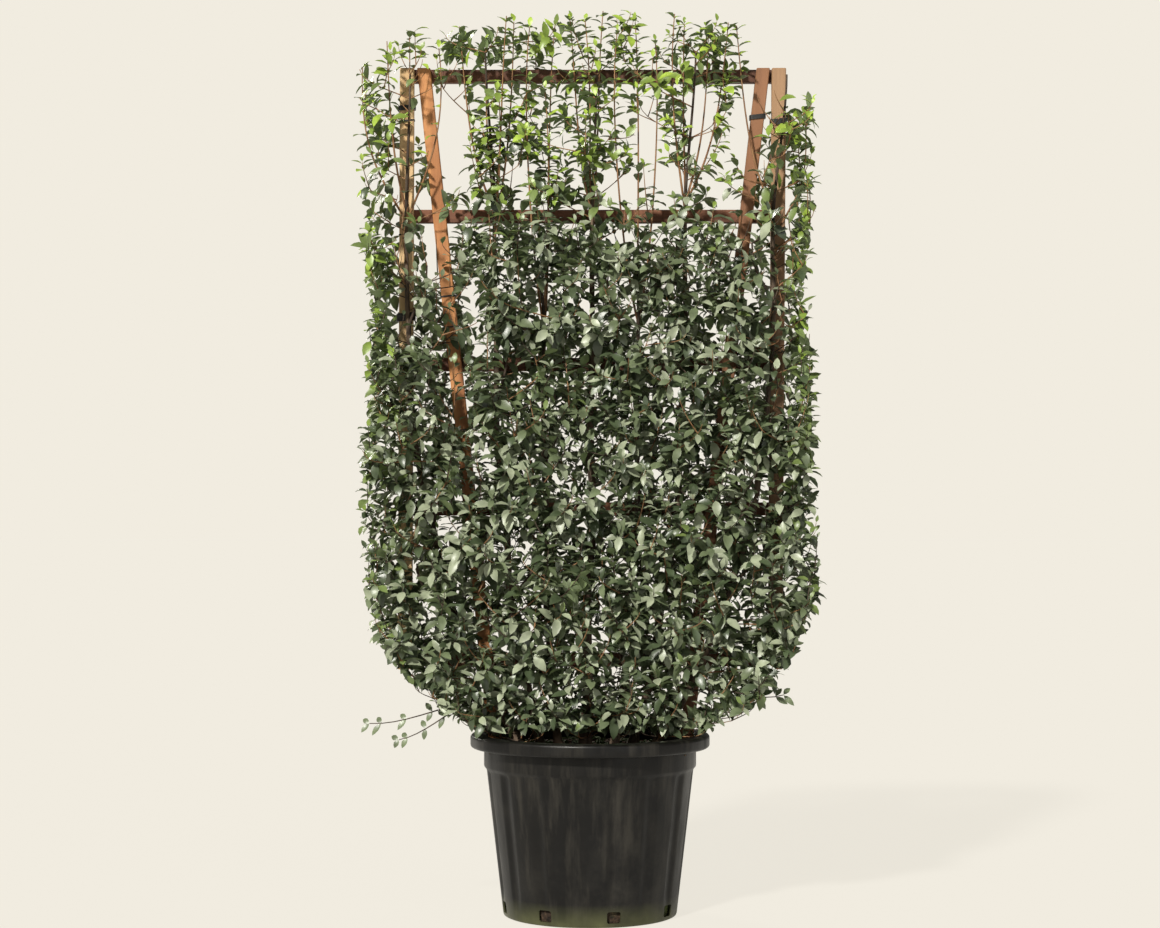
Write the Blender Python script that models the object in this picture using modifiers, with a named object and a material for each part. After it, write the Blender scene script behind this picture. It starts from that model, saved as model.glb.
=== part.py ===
"""A potted Burkwood osmanthus trained flat on its wooden frame, modelled in metres with +Z up.

Seven stems rise from the soil of a black nursery pot and fan out over the front of a frame of
two posts, five rails and two slanting slats. Masses of foliage grow from the stems. The origin
is the middle of the pot's flat underside, and the front of the espalier faces -Y.
"""

import math
import random

import bmesh
import bpy
from mathutils import Matrix, Vector
from mathutils.bvhtree import BVHTree

# The gap that pieces keep where they meet
GAP = 0.0003
# How far leaves and twigs stay off the limbs, the frame and the pot
CLEARANCE = 0.0009

# The pot
POT_HEIGHT = 0.358
POT_WALL = 0.0032
FLOOR_THICKNESS = 0.008
BASE_RADIUS = 0.1725
BASE_CHAMFER = 0.0035
SHOULDER_HEIGHT = 0.288
SHOULDER_RADIUS = 0.2060
COLLAR_RADIUS = 0.2115
COLLAR_STEP = 0.006
LIP_RADIUS = 0.2385
LIP_HEIGHT = 0.026
LIP_ROUND = 0.006
GROOVES = 16
STEPS_PER_GROOVE = 3
GROOVE_DEPTH = 0.0040
GROOVES_FULL_AT = 0.060
FIRST_GROOVE_DEG = 13.5
SLOTS = 8
FIRST_SLOT_DEG = 15.0
SLOT_WIDTH = 0.027
SLOT_FOOT = 0.0085
SLOT_TOP = 0.031
SLOT_REACH = 0.012

# The soil, which lies a little under the rim and is highest round the stems
SOIL_TOP = 0.330
SOIL_MOUND = 0.006
MOUND_RADIUS = 0.150

# The frame: rails behind, posts and slats in front of them
FRAME_TOP = 1.690
FRAME_FOOT = 0.486
POST_WIDTH = 0.0285
SLAT_WIDTH = 0.0265
LATH_THICKNESS = 0.018
RAIL_WIDTH = 0.0265
RAIL_INSET = 0.002
LEFT_POST_TOP = -0.3668
LEFT_POST_FOOT = -0.3695
RIGHT_POST_TOP = 0.3790
RIGHT_POST_FOOT = 0.3695
RAIL_HEIGHTS = (0.504, 0.806, 1.096, 1.394, 1.6765)
SLAT_FOOT_HEIGHT = 0.260
LEFT_SLAT_FOOT = -0.1800
LEFT_SLAT_TOP = -0.3335
RIGHT_SLAT_FOOT = 0.1820
RIGHT_SLAT_TOP = 0.3475
LATH_EDGE = 0.0015

# The stems, tied to the front of the frame above TIED_FROM
TIED_Y = -0.0235
TIED_FROM = 0.47
FAN_POWER = 3.0
STEM_TIP_RADIUS = 0.0036
STEM_POINTS = 10
STEM_BEVEL_RESOLUTION = 1
FLARE_HEIGHT = 0.024
FLARE = 1.45
STEM_SWAY = 0.006
SWAY_LENGTH = 0.37
# Name, foot x, foot y, tip x, tip height, radius above the flare
STEMS = (
    ("stem_far_left", -0.132, -0.030, -0.366, 1.415, 0.0092),
    ("stem_left", -0.098, 0.014, -0.190, 1.435, 0.0084),
    ("stem_mid_left", -0.062, -0.046, -0.092, 1.180, 0.0076),
    ("stem_centre", -0.010, -0.004, 0.004, 1.415, 0.0112),
    ("stem_mid_right", 0.046, -0.046, 0.096, 1.190, 0.0078),
    ("stem_right", 0.084, 0.012, 0.190, 1.435, 0.0088),
    ("stem_far_right", 0.122, -0.028, 0.366, 1.415, 0.0096),
)

# The crown's outline: height, furthest left, furthest right
OUTLINE = (
    (0.365, -0.215, 0.215),
    (0.420, -0.300, 0.330),
    (0.470, -0.350, 0.375),
    (0.540, -0.425, 0.415),
    (0.640, -0.436, 0.450),
    (0.820, -0.458, 0.446),
    (1.060, -0.436, 0.446),
    (1.220, -0.440, 0.424),
    (1.400, -0.458, 0.440),
    (1.690, -0.462, 0.452),
)
# The top of the shoots: x, height
TOP_LINE = (
    (-0.462, 1.690),
    (-0.400, 1.745),
    (-0.280, 1.770),
    (-0.150, 1.790),
    (0.024, 1.808),
    (0.160, 1.794),
    (0.305, 1.776),
    (0.335, 1.652),
    (0.452, 1.640),
)
# The crown's depth: height, furthest forward, furthest back
DEPTH_LINE = (
    (0.365, -0.130, 0.110),
    (0.560, -0.185, 0.130),
    (1.000, -0.195, 0.140),
    (1.380, -0.170, 0.115),
    (1.808, -0.095, 0.055),
)

# Rows of foliage masses from the lowest up: height, and each mass's name ending, x and stem
MASS_ROWS = (
    (0.470, (("left", -0.215, 0), ("middle", 0.000, 3), ("right", 0.215, 6))),
    (0.650, (("far_left", -0.345, 0), ("left", -0.118, 1), ("right", 0.118, 5), ("far_right", 0.345, 6))),
    (0.850, (("left", -0.280, 0), ("middle", 0.000, 3), ("right", 0.280, 6))),
    (1.040, (("far_left", -0.360, 0), ("left", -0.145, 1), ("right", 0.145, 5), ("far_right", 0.360, 6))),
    (1.240, (("far_left", -0.335, 0), ("left", -0.105, 2), ("right", 0.105, 4), ("far_right", 0.335, 6))),
    (1.560, (("far_left", -0.375, 0), ("left", -0.190, 1), ("middle", 0.000, 3), ("right", 0.190, 5),
             ("far_right", 0.375, 6))),
)
# Every second mass of a row stands this much higher, and the others as much lower
STAGGER = 0.022
FORK_BELOW = 0.070
FORK_STEP = 0.012
FORK_TRIES = 14
FORK_REACH = 0.030
CELL_GAP = 0.0004
LEAVES_PER_MASS = 27
SIDE_TWIGS = 9
GOLDEN_ANGLE = math.pi * (3 - math.sqrt(5))
TWIG_SIDES = 3
AXIS_RADIUS = 0.0042
TWIG_SHARE = 0.5
TIP_SHARE = 0.60
FIRST_TWIG = 0.10
TWIG_LENGTH = 0.180
AXIS_LENGTH = 0.340
TWIG_RISE = 0.55
TWIG_STEP = 0.012
SHORTEST_TWIG = 0.018
AXIS_TRIES = 16
AXIS_SPREAD = 0.35
TWIG_TRIES = 8
TIP_ROOM = 0.060
PAIR_SPACING = 0.028
FIRST_PAIR = 0.020
LEAF_LENGTH = 0.104
LEAF_WIDTH = 0.052
LEAF_THICKNESS = 0.0024
LEAF_ARCH = 0.010
LEAF_WIDEST = 0.45
TIP_LEAF_SINK = 0.003
LEAF_SPREAD = 0.95
LEAF_DROOP = 0.20
LEAF_TURN = 0.5
LEAF_TRIES = 7
LEAF_PICKS = 14
LEAF_FLATTEN = 0.5

LEAF_GREEN = (0.055, 0.095, 0.035, 1.0)
BARK_BROWN = (0.115, 0.075, 0.045, 1.0)
WOOD_BROWN = (0.235, 0.095, 0.035, 1.0)
POT_BLACK = (0.018, 0.017, 0.016, 1.0)
SOIL_BROWN = (0.035, 0.024, 0.016, 1.0)


def clear_scene():
    for thing in list(bpy.data.objects):
        bpy.data.objects.remove(thing, do_unlink=True)


def new_collection(name):
    made = bpy.data.collections.new(name)
    bpy.context.scene.collection.children.link(made)
    return made


def material(name, colour, roughness):
    made = bpy.data.materials.new(name)
    made.use_nodes = True
    shader = made.node_tree.nodes["Principled BSDF"]
    shader.inputs["Base Color"].default_value = colour
    shader.inputs["Roughness"].default_value = roughness
    shader.inputs["Metallic"].default_value = 0.0
    return made


def object_from(name, shape, collection):
    """A mesh object from a bmesh, which is freed."""
    mesh = bpy.data.meshes.new(name)
    shape.to_mesh(mesh)
    shape.free()
    made = bpy.data.objects.new(name, mesh)
    collection.objects.link(made)
    return made


def along(table, at, column):
    """The value of a column where the table's first column reads at, on straight lines between its rows."""
    if at <= table[0][0]:
        return table[0][column]
    for low, high in zip(table, table[1:]):
        if at <= high[0]:
            share = (at - low[0]) / (high[0] - low[0])
            return low[column] + share * (high[column] - low[column])
    return table[-1][column]


def eased(share):
    share = min(1.0, max(0.0, share))
    return share * share * (3 - 2 * share)


def apply_modifiers(thing):
    """Puts the evaluated mesh in place of the object's own and drops its modifiers."""
    graph = bpy.context.evaluated_depsgraph_get()
    mesh = bpy.data.meshes.new_from_object(thing.evaluated_get(graph))
    thing.modifiers.clear()
    thing.data = mesh
    return thing


def body_radius(height):
    """The pot's outer radius on its fluted body, between the grooves."""
    return BASE_RADIUS + (SHOULDER_RADIUS - BASE_RADIUS) * height / SHOULDER_HEIGHT


def turned(name, profile, collection):
    """A solid of revolution about Z, from (radius, height) points that run down its outer side."""
    shape = bmesh.new()
    points = [shape.verts.new((radius, 0, height)) for radius, height in profile]
    for one, other in zip(points, points[1:]):
        shape.edges.new((one, other))
    made = object_from(name, shape, collection)
    screw = made.modifiers.new("turn", "SCREW")
    screw.steps = GROOVES * STEPS_PER_GROOVE
    screw.render_steps = screw.steps
    screw.use_merge_vertices = True
    screw.merge_threshold = 0.00005
    apply_modifiers(made)
    made.data.transform(Matrix.Rotation(math.radians(FIRST_GROOVE_DEG - 90), 4, "Z"))
    return made


def press_grooves(thing):
    """Presses the upright grooves into the wall between the base and the shoulder."""
    period = 2 * math.pi / GROOVES
    first = math.radians(FIRST_GROOVE_DEG - 90)
    half_step = period / STEPS_PER_GROOVE / 2
    for vertex in thing.data.vertices:
        radius = math.hypot(vertex.co.x, vertex.co.y)
        angle = math.atan2(vertex.co.y, vertex.co.x) - first
        off_groove = abs((angle + period / 2) % period - period / 2)
        on_wall = GROOVES_FULL_AT - GAP < vertex.co.z < SHOULDER_HEIGHT + GAP
        if on_wall and off_groove < half_step:
            vertex.co.xy *= (radius - GROOVE_DEPTH) / radius


def cutter_box(size, place, angle, collection):
    """A box that only cuts, turned about Z by angle."""
    shape = bmesh.new()
    bmesh.ops.create_cube(shape, size=1, matrix=Matrix.Diagonal((*size, 1)))
    made = object_from("cutter", shape, collection)
    made.location = place
    made.rotation_euler = (0, 0, angle)
    made.hide_render = True
    made.display_type = "WIRE"
    return made


def cut(thing, cutters):
    boolean = thing.modifiers.new("cut", "BOOLEAN")
    boolean.operation = "DIFFERENCE"
    boolean.operand_type = "COLLECTION"
    boolean.collection = cutters
    return boolean


def make_pot(collection, finish):
    """The pot: a tapering fluted wall, a plain collar and a rolled lip, with drain slots at the foot."""
    inner = COLLAR_RADIUS - POT_WALL
    full = GROOVES_FULL_AT
    profile = [
        (0, FLOOR_THICKNESS),
        (body_radius(FLOOR_THICKNESS) - POT_WALL, FLOOR_THICKNESS),
        (body_radius(full) - POT_WALL, full),
        (SHOULDER_RADIUS - POT_WALL, SHOULDER_HEIGHT),
        (inner, SHOULDER_HEIGHT + COLLAR_STEP),
        (inner, POT_HEIGHT),
        (LIP_RADIUS - LIP_ROUND, POT_HEIGHT),
        (LIP_RADIUS, POT_HEIGHT - LIP_ROUND),
        (LIP_RADIUS, POT_HEIGHT - LIP_HEIGHT + LIP_ROUND),
        (LIP_RADIUS - LIP_ROUND, POT_HEIGHT - LIP_HEIGHT),
        (COLLAR_RADIUS, POT_HEIGHT - LIP_HEIGHT),
        (COLLAR_RADIUS, SHOULDER_HEIGHT + COLLAR_STEP),
        (SHOULDER_RADIUS, SHOULDER_HEIGHT),
        (body_radius(full), full),
        (body_radius(BASE_CHAMFER), BASE_CHAMFER),
        (BASE_RADIUS - BASE_CHAMFER, 0),
        (0, 0),
    ]
    pot = turned("pot", profile, collection)
    press_grooves(pot)
    slots = new_collection("slot_cutters")
    middle = (SLOT_FOOT + SLOT_TOP) / 2
    for number in range(SLOTS):
        angle = math.radians(FIRST_SLOT_DEG - 90 + number * 360 / SLOTS)
        radius = body_radius(middle) - POT_WALL / 2
        place = (radius * math.cos(angle), radius * math.sin(angle), middle)
        cutter_box((SLOT_REACH, SLOT_WIDTH, SLOT_TOP - SLOT_FOOT), place, angle, slots)
    cut(pot, slots)
    pot.data.materials.append(finish)
    return pot


def make_soil(collection, finish):
    """The soil, up to a little under the rim, with a notch at each side for a slat's foot."""
    clear = POT_WALL + GROOVE_DEPTH + GAP
    edge = COLLAR_RADIUS - POT_WALL - GAP
    foot = FLOOR_THICKNESS + GAP
    profile = [
        (0, SOIL_TOP),
        (MOUND_RADIUS, SOIL_TOP),
        (edge, SOIL_TOP - SOIL_MOUND),
        (edge, SHOULDER_HEIGHT + COLLAR_STEP + 3 * GAP),
        (SHOULDER_RADIUS - clear, SHOULDER_HEIGHT + GAP),
        (body_radius(foot) - clear, foot),
        (0, foot),
    ]
    soil = turned("soil", profile, collection)
    notches = new_collection("notch_cutters")
    height = SOIL_TOP - SLAT_FOOT_HEIGHT + 2 * GAP + SOIL_MOUND
    for slat_x, side in ((LEFT_SLAT_FOOT, -1), (RIGHT_SLAT_FOOT, 1)):
        lean = abs(slat_line(side, SOIL_TOP) - slat_x)
        inside = slat_x - side * (SLAT_WIDTH / 2 + GAP)
        outside = slat_x + side * (1.5 * SLAT_WIDTH + lean)
        size = (abs(outside - inside), LATH_THICKNESS + 2 * GAP, height)
        place = ((inside + outside) / 2, 0, SLAT_FOOT_HEIGHT - GAP + height / 2)
        cutter_box(size, place, 0, notches)
    cut(soil, notches)
    soil.data.materials.append(finish)
    return soil


def slat_line(side, height):
    """The x of a slat's middle at a height: side is -1 for the left slat and 1 for the right."""
    foot, top = (LEFT_SLAT_FOOT, LEFT_SLAT_TOP) if side < 0 else (RIGHT_SLAT_FOOT, RIGHT_SLAT_TOP)
    return foot + (top - foot) * (height - SLAT_FOOT_HEIGHT) / (FRAME_TOP - SLAT_FOOT_HEIGHT)


def post_line(side, height):
    foot, top = (LEFT_POST_FOOT, LEFT_POST_TOP) if side < 0 else (RIGHT_POST_FOOT, RIGHT_POST_TOP)
    return foot + (top - foot) * (height - FRAME_FOOT) / (FRAME_TOP - FRAME_FOOT)


def lath(name, start, end, across, width, depth_at, collection, finish):
    """A sawn lath between two (x, z) points, whose end cuts run along across."""
    shape = bmesh.new()
    bmesh.ops.create_cube(shape, size=1)
    for vertex in shape.verts:
        middle = end if vertex.co.z > 0 else start
        offset = vertex.co.x * width
        thick = vertex.co.y * LATH_THICKNESS
        vertex.co = (middle[0] + across[0] * offset, depth_at + thick, middle[1] + across[1] * offset)
    bmesh.ops.recalc_face_normals(shape, faces=shape.faces)
    made = object_from(name, shape, collection)
    edge = made.modifiers.new("edge", "BEVEL")
    edge.width = LATH_EDGE
    edge.segments = 1
    made.data.materials.append(finish)
    return made


def make_frame(collection, finish):
    """The flat frame: two posts and two slanting slats in front of five rails."""
    made = []
    level = (0, 1)
    plumb = (1, 0)
    for name, side in (("left", -1), ("right", 1)):
        foot = (post_line(side, FRAME_FOOT), FRAME_FOOT)
        top = (post_line(side, FRAME_TOP), FRAME_TOP)
        made.append(lath("post_" + name, foot, top, plumb, POST_WIDTH, 0, collection, finish))
        foot = (slat_line(side, SLAT_FOOT_HEIGHT), SLAT_FOOT_HEIGHT)
        top = (slat_line(side, FRAME_TOP), FRAME_TOP)
        made.append(lath("slat_" + name, foot, top, plumb, SLAT_WIDTH, 0, collection, finish))
    overhang = POST_WIDTH / 2 - RAIL_INSET
    behind = LATH_THICKNESS + GAP
    for number, height in enumerate(RAIL_HEIGHTS, 1):
        start = (post_line(-1, height) - overhang, height)
        end = (post_line(1, height) + overhang, height)
        made.append(lath(f"rail_{number}", start, end, level, RAIL_WIDTH, behind, collection, finish))
    return made


def stem_place(stem, share):
    """A stem's middle and radius at a share of its height above the soil."""
    name, foot_x, foot_y, tip_x, tip_height, radius = stem
    foot_height = SOIL_TOP + GAP
    height = foot_height + share * (tip_height - foot_height)
    fan = 1 - (1 - share) ** FAN_POWER
    sway = STEM_SWAY * math.sin((height - foot_height) / SWAY_LENGTH * 2 * math.pi) * eased(share * 4)
    x = foot_x + (tip_x - foot_x) * fan + sway * (1 - share)
    y = foot_y + (TIED_Y - foot_y) * eased((height - foot_height) / (TIED_FROM - foot_height))
    size = radius + (STEM_TIP_RADIUS - radius) * share
    size *= 1 + (FLARE - 1) * math.exp(-(height - foot_height) / FLARE_HEIGHT)
    return Vector((x, y, height)), size


def make_stem(stem, collection, finish):
    """One tapering stem with a flare at the soil, cut level at its foot."""
    line = bpy.data.curves.new(stem[0], "CURVE")
    line.dimensions = "3D"
    line.bevel_depth = 1.0
    line.bevel_resolution = STEM_BEVEL_RESOLUTION
    line.use_fill_caps = True
    spline = line.splines.new("POLY")
    # The first stretch is short and upright, so the foot is cut level and the flare shows
    shares = [0, FLARE_HEIGHT / 2, FLARE_HEIGHT * 2]
    shares += [FLARE_HEIGHT * 2 + (1 - FLARE_HEIGHT * 2) * (k + 1) / STEM_POINTS for k in range(STEM_POINTS)]
    spline.points.add(len(shares) - 1)
    foot, foot_size = stem_place(stem, 0)
    for number, (point, share) in enumerate(zip(spline.points, shares)):
        place, size = stem_place(stem, share)
        if number == 1:
            place.x, place.y = foot.x, foot.y
        point.co = (*place, 1)
        point.radius = size
    guide = bpy.data.objects.new(stem[0] + "_line", line)
    collection.objects.link(guide)
    graph = bpy.context.evaluated_depsgraph_get()
    mesh = bpy.data.meshes.new_from_object(guide.evaluated_get(graph))
    shape = bmesh.new()
    shape.from_mesh(mesh)
    bmesh.ops.remove_doubles(shape, verts=shape.verts, dist=0.00005)
    bpy.data.objects.remove(guide, do_unlink=True)
    made = object_from(stem[0], shape, collection)
    made.data.materials.append(finish)
    return made


def world_polygons(things):
    """Points and polygons of all these objects, as one list each."""
    points, polygons = [], []
    graph = bpy.context.evaluated_depsgraph_get()
    for thing in things:
        mesh = thing.evaluated_get(graph).to_mesh()
        base = len(points)
        points += [thing.matrix_world @ vertex.co for vertex in mesh.vertices]
        polygons += [[base + index for index in face.vertices] for face in mesh.polygons]
    return points, polygons


class Cell:
    """The space that one mass of foliage keeps to."""

    def __init__(self, number, centres, obstacles):
        self.own = centres[number]
        self.others = [other for k, other in enumerate(centres) if k != number]
        self.obstacles = obstacles

    def holds(self, point):
        """Whether a point is inside the crown's outline and nearer this mass's middle than any other."""
        height = point.z
        if height < OUTLINE[0][0] or height > along(TOP_LINE, point.x, 1):
            return False
        if not along(OUTLINE, height, 1) <= point.x <= along(OUTLINE, height, 2):
            return False
        if not along(DEPTH_LINE, height, 1) <= point.y <= along(DEPTH_LINE, height, 2):
            return False
        for other in self.others:
            towards = other - self.own
            reach = (Vector((point.x, point.z)) - self.own).dot(towards.normalized())
            if reach > towards.length / 2 - CELL_GAP:
                return False
        return True

    def free(self, shape, tree):
        """Whether a bmesh and its tree lie in the space and touch no limb, lath, pot or soil."""
        return all(self.holds(vertex.co) for vertex in shape.verts) and not tree.overlap(self.obstacles)


def pointing(direction, place):
    """The matrix that carries +Z to a direction and the origin to a place."""
    turn = direction.to_track_quat("Z", "Y").to_matrix().to_4x4()
    return Matrix.Translation(place) @ turn


def twig_shape(start, end, radius, grow):
    """A straight three-sided twig that tapers, made larger all round by grow."""
    shape = bmesh.new()
    way = end - start
    bmesh.ops.create_cone(
        shape,
        cap_ends=True,
        segments=TWIG_SIDES,
        radius1=radius + 2 * grow,
        radius2=radius * TIP_SHARE + 2 * grow,
        depth=way.length + grow,
        matrix=pointing(way.normalized(), (start + end) / 2 + way.normalized() * grow / 2),
    )
    return shape


def leaf_shape(root, direction, upper, grow):
    """A leaf of eight faces, arched along its length, made larger all round by grow."""
    side = direction.cross(upper).normalized()
    face = side.cross(direction).normalized()
    middle = root + direction * LEAF_LENGTH * LEAF_WIDEST + face * LEAF_ARCH
    shape = bmesh.new()
    bmesh.ops.create_uvsphere(shape, u_segments=4, v_segments=2, radius=1)
    for vertex in shape.verts:
        corner = vertex.co.copy()
        if corner.z > 0.5:
            vertex.co = root + direction * (LEAF_LENGTH + grow)
        elif corner.z < -0.5:
            vertex.co = root - direction * grow
        else:
            across = side * corner.x * (LEAF_WIDTH / 2 + grow)
            through = face * corner.y * (LEAF_THICKNESS / 2 + grow)
            vertex.co = middle + across + through
    bmesh.ops.recalc_face_normals(shape, faces=shape.faces)
    return shape


class Mass:
    """The twigs and leaves of one mass of foliage, grown inside its cell."""

    def __init__(self, cell, seed):
        self.cell = cell
        self.chance = random.Random(seed)
        self.shapes = []
        self.trees = []
        self.twigs = []
        self.middles = []

    def add(self, make, sizes, joined):
        """Adds the shape where it lies free in the cell and meets only the piece numbered joined."""
        large = make(*sizes, CLEARANCE)
        tree = BVHTree.FromBMesh(large)
        clear = self.cell.free(large, tree)
        large.free()
        if not clear:
            return False
        if any(tree.overlap(other) for k, other in enumerate(self.trees) if k != joined):
            return False
        self.shapes.append(make(*sizes, 0.0))
        self.trees.append(tree)
        return True

    def add_twig(self, start, way, length, radius, joined):
        """Adds the longest straight twig that fits, with room for a leaf at its tip."""
        while length >= SHORTEST_TWIG:
            end = start + way * (length + TIP_ROOM)
            if self.cell.holds(end) and self.add(twig_shape, (start, start + way * length, radius), joined):
                self.twigs.append((len(self.shapes) - 1, start, way, length))
                return True
            length -= TWIG_STEP
        return False

    def spread(self, way, amount):
        """A direction near way, turned by chance."""
        jog = Vector([self.chance.uniform(-1, 1) for _ in range(3)]) * amount
        return (way + jog).normalized()

    def grow_axis(self, start, way, middle):
        """The mass's own stem: a short fork off the limb, then a rising stretch through its space."""
        if not self.add(twig_shape, (start, start + way * FORK_REACH, AXIS_RADIUS), None):
            return False
        self.twigs.append((0, start, way, FORK_REACH))
        elbow = start + way * (FORK_REACH - AXIS_RADIUS)
        aim = Vector((middle.x, TIED_Y - TWIG_LENGTH / 4, middle.y + FORK_BELOW)) - elbow
        best = None
        for _ in range(AXIS_TRIES):
            rise = self.spread(aim.normalized(), AXIS_SPREAD)
            reach = self.free_length(elbow, rise, AXIS_LENGTH)
            if best is None or reach > best[0]:
                best = (reach, rise)
        return self.add_twig(elbow, best[1], best[0], AXIS_RADIUS, 0)

    def free_length(self, start, way, longest):
        """How far a twig can run from start before it leaves the cell or touches a limb."""
        length = longest
        while length > SHORTEST_TWIG:
            shape = twig_shape(start + way * AXIS_RADIUS, start + way * length, AXIS_RADIUS, CLEARANCE)
            clear = self.cell.free(shape, BVHTree.FromBMesh(shape))
            shape.free()
            if clear and self.cell.holds(start + way * (length + TIP_ROOM)):
                return length
            length -= TWIG_STEP
        return SHORTEST_TWIG

    def grow_twigs(self):
        """Side twigs up the axis, each turned on from the last by the golden angle."""
        number, start, way, length = self.twigs[1]
        across = way.orthogonal().normalized()
        for k in range(SIDE_TWIGS):
            share = FIRST_TWIG + (1 - FIRST_TWIG) * k / SIDE_TWIGS
            base = start + way * length * share
            for _ in range(TWIG_TRIES):
                turn = Matrix.Rotation(k * GOLDEN_ANGLE + self.chance.uniform(-0.5, 0.5), 3, way)
                out = self.spread((turn @ across + way * TWIG_RISE).normalized(), 0.2)
                radius = AXIS_RADIUS * (1 - (1 - TIP_SHARE) * share) * TWIG_SHARE
                if self.add_twig(base, out, TWIG_LENGTH, radius, number):
                    break

    def leaf_places(self):
        """Where leaves may sit: at each twig's tip, and in crossed pairs along every twig."""
        tips, pairs = [], []
        for number, start, way, length in self.twigs:
            across = way.orthogonal().normalized()
            tips.append((number, start + way * (length - TIP_LEAF_SINK), way, across, 0.25))
            steps = int((length - FIRST_PAIR) / PAIR_SPACING) + 1 if length > FIRST_PAIR else 0
            for k in range(steps):
                root = start + way * (FIRST_PAIR + k * PAIR_SPACING)
                for side in (0, 1):
                    turn = Matrix.Rotation((k % 2) * math.pi / 2 + side * math.pi, 3, way)
                    pairs.append((number, root, way, turn @ across, LEAF_SPREAD))
        return tips, pairs

    def grow_leaf(self, number, root, way, across, spread):
        """One leaf at a place on a twig, turned a little by chance until it lies free."""
        for _ in range(LEAF_TRIES):
            out = self.spread(way * (1 - spread / 2) + across * spread, LEAF_TURN)
            out = Vector((out.x, out.y * LEAF_FLATTEN, out.z - LEAF_DROOP)).normalized()
            front = -1 if root.y < TIED_Y + LEAF_WIDTH else 1
            upper = self.spread(Vector((0, front * 0.8, 0.6)), LEAF_TURN)
            if self.add(leaf_shape, (root, out, upper), number):
                self.middles.append(root + out * LEAF_LENGTH / 2)
                return

    def room_at(self, place):
        """How far the middle of a leaf at this place would lie from every other leaf's."""
        _, root, way, across, spread = place
        middle = root + (way * (1 - spread / 2) + across * spread).normalized() * LEAF_LENGTH / 2
        return min(((middle - other).length for other in self.middles), default=1)

    def grow_leaves(self):
        """A leaf at every twig's tip, then leaves where there is most room for one."""
        tips, pairs = self.leaf_places()
        for place in tips:
            self.grow_leaf(*place)
        while pairs and len(self.middles) < LEAVES_PER_MASS:
            picks = self.chance.sample(pairs, min(LEAF_PICKS, len(pairs)))
            place = max(picks, key=self.room_at)
            pairs.remove(place)
            self.grow_leaf(*place)

    def fused(self, name, collection, finish):
        """One solid of all the twigs and leaves."""
        pieces = new_collection(name + "_pieces")
        made = [object_from(f"{name}_piece_{k}", shape, pieces) for k, shape in enumerate(self.shapes)]
        body = made[0]
        body.name = name
        pieces.objects.unlink(body)
        collection.objects.link(body)
        union = body.modifiers.new("union", "BOOLEAN")
        union.operation = "UNION"
        union.operand_type = "COLLECTION"
        union.collection = pieces
        apply_modifiers(body)
        for piece in made[1:]:
            bpy.data.objects.remove(piece, do_unlink=True)
        bpy.data.collections.remove(pieces)
        keep_largest(body.data)
        body.data.materials.clear()
        body.data.materials.append(finish)
        return body


def keep_largest(mesh):
    """Drops loose scraps and fills sealed hollows, which leaves the one largest closed skin."""
    shape = bmesh.new()
    shape.from_mesh(mesh)
    bmesh.ops.triangulate(shape, faces=shape.faces)
    skins, seen = [], set()
    for first in shape.faces:
        if first in seen:
            continue
        seen.add(first)
        skin, edge_of = [first], [first]
        while edge_of:
            face = edge_of.pop()
            for edge in face.edges:
                for other in edge.link_faces:
                    if other not in seen:
                        seen.add(other)
                        skin.append(other)
                        edge_of.append(other)
        skins.append(skin)
    skins.sort(key=len)
    for skin in skins[:-1]:
        bmesh.ops.delete(shape, geom=skin, context="FACES")
    bmesh.ops.delete(shape, geom=[vertex for vertex in shape.verts if not vertex.link_faces], context="VERTS")
    shape.to_mesh(mesh)
    shape.free()


def fork_of(stem, middle, obstacles, height):
    """Where a mass's stem starts on a limb's side at a height, and the way it leads out."""
    share = (height - SOIL_TOP) / (stem[4] - SOIL_TOP)
    place, size = stem_place(stem, share)
    aside = middle.x - place.x
    look = Vector((aside, -size * 2, 0)) if abs(aside) > 3 * size else Vector((aside, -4 * size, 0))
    look.normalize()
    hit, normal, _, _ = obstacles.ray_cast(place + look * size * 2, -look)
    if hit is None or (hit - place).length > size * 1.2:
        return None
    return hit + normal * GAP, normal


def tip_of(stem):
    """Where a mass's stem starts off a limb's tip, and the way it leads on."""
    last, _ = stem_place(stem, 1)
    before, _ = stem_place(stem, 1 - (1 - FLARE_HEIGHT * 2) / STEM_POINTS)
    way = (last - before).normalized()
    return last + way * GAP, way


def make_mass(name, stem, number, centres, obstacles, collection, finish):
    """One mass of foliage on its stem: off the tip where the stem ends in its space, else off the side."""
    cell = Cell(number, centres, obstacles)
    middle = centres[number]
    starts = []
    tip, _ = stem_place(stem, 1)
    if cell.holds(tip):
        starts.append(tip_of(stem))
    for k in range(FORK_TRIES):
        height = middle.y - FORK_BELOW + (k + 1) // 2 * FORK_STEP * (-1) ** k
        if height < stem[4]:
            found = fork_of(stem, middle, obstacles, height)
            if found:
                starts.append(found)
    for start, way in starts:
        mass = Mass(cell, number)
        if mass.grow_axis(start, way, middle):
            mass.grow_twigs()
            mass.grow_leaves()
            return mass.fused(name, collection, finish)
    raise RuntimeError("No room for " + name)


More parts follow.
